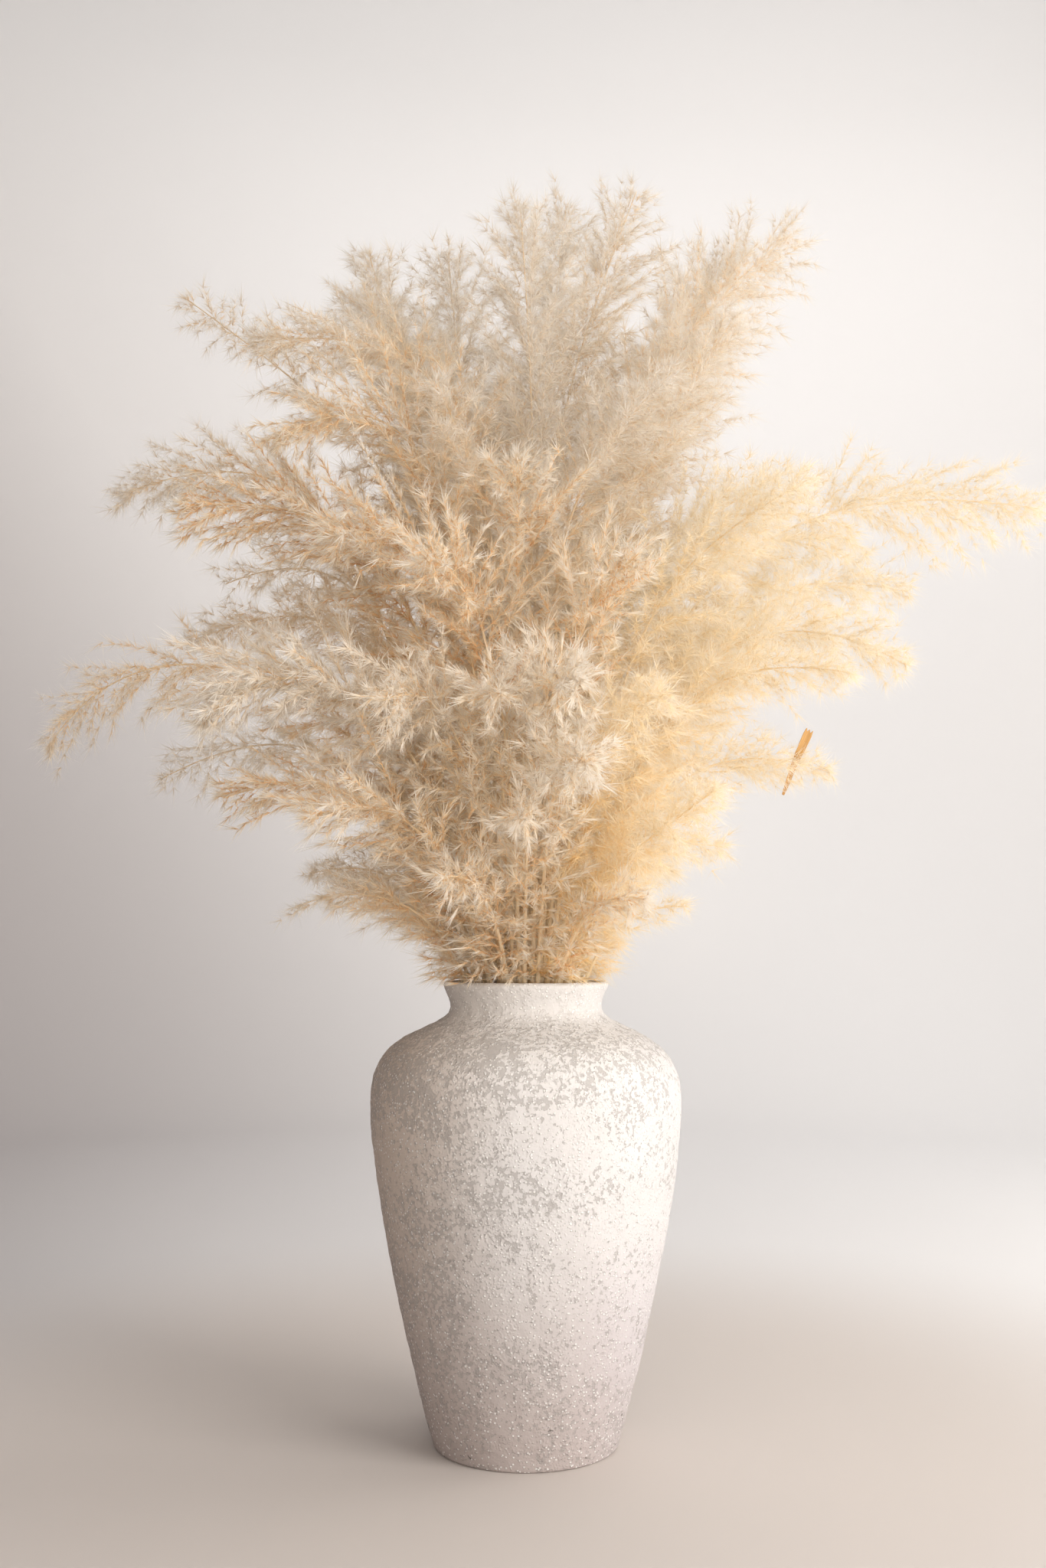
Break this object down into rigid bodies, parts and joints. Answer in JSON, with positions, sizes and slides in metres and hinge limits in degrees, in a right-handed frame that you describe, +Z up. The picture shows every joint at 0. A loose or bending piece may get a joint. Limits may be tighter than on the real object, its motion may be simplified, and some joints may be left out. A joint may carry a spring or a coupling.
{
  "type": "vase of dried grass plumes",
  "caption": "Rough white shouldered vase holding a full, wide bunch of fluffy dried grass plumes in cream and golden tones.",
  "frame": {"origin": "centre of the vase's flat underside", "axes": "+Z is up along the vase's turning axis; +X is the viewer's right and the bunch's widest side; a viewer in front looks along +Y"},
  "size_m": [0.7023, 0.4728, 0.8908],
  "materials": {
    "rough_ceramic": "matt white plaster coat with raised grain and grey specks",
    "cream_plume": "fluffy dry plume, cream to beige",
    "golden_plume": "fluffy dry plume, warm golden",
    "dry_leaf": "dry tan leaf blade"
  },
  "bodies": {
    "root": {"vase": "rough_ceramic", "plume_left_high_back": "cream_plume", "plume_left_high": "cream_plume", "plume_left_front_high": "cream_plume", "plume_left_upper": "cream_plume", "plume_left_upper_front": "cream_plume", "plume_left_upper_back": "cream_plume", "plume_left_middle": "cream_plume", "plume_left_long": "cream_plume", "plume_left_front": "cream_plume", "plume_left_low_back": "cream_plume", "plume_left_low": "cream_plume", "plume_left_low_rim": "cream_plume", "plume_left_lowest": "cream_plume", "plume_left_front_low": "cream_plume", "plume_top_left_back": "cream_plume", "plume_top_left": "cream_plume", "plume_top_back": "cream_plume", "plume_top_middle": "cream_plume", "plume_top_middle_back": "cream_plume", "plume_top_right": "cream_plume", "plume_top_right_large": "cream_plume", "plume_top_right_back": "cream_plume", "plume_top_right_front": "cream_plume", "plume_right_front_high": "cream_plume", "plume_right_upper": "golden_plume", "plume_right_long": "golden_plume", "plume_right_middle_back": "golden_plume", "plume_right_middle": "golden_plume", "plume_right_front_upper": "golden_plume", "plume_right_front_middle": "golden_plume", "plume_right_caught_leaf": "golden_plume", "plume_right_front_low": "golden_plume", "plume_right_low": "golden_plume", "plume_right_low_back": "golden_plume", "plume_right_lowest": "golden_plume", "plume_front_middle": "cream_plume", "plume_front_low_right": "cream_plume", "plume_front_middle_left": "cream_plume", "plume_front_low": "cream_plume", "plume_front_top_left": "cream_plume", "plume_front_top": "cream_plume", "plume_front_upper_right": "cream_plume", "plume_front_upper_left": "cream_plume", "plume_front_right": "golden_plume", "plume_front_lowest": "cream_plume", "plume_front_left_upper": "cream_plume", "plume_front_left": "cream_plume", "plume_left_rim": "cream_plume", "plume_front_right_rim": "cream_plume", "plume_back_right_rim": "golden_plume", "plume_back_left_rim": "cream_plume", "plume_back_high_right": "cream_plume", "plume_back_high_left": "cream_plume", "plume_back_upper": "cream_plume", "plume_back_right": "golden_plume", "plume_back_left": "cream_plume", "plume_back_low": "cream_plume", "dried_leaf": "dry_leaf"}
  },
  "joints": []
}
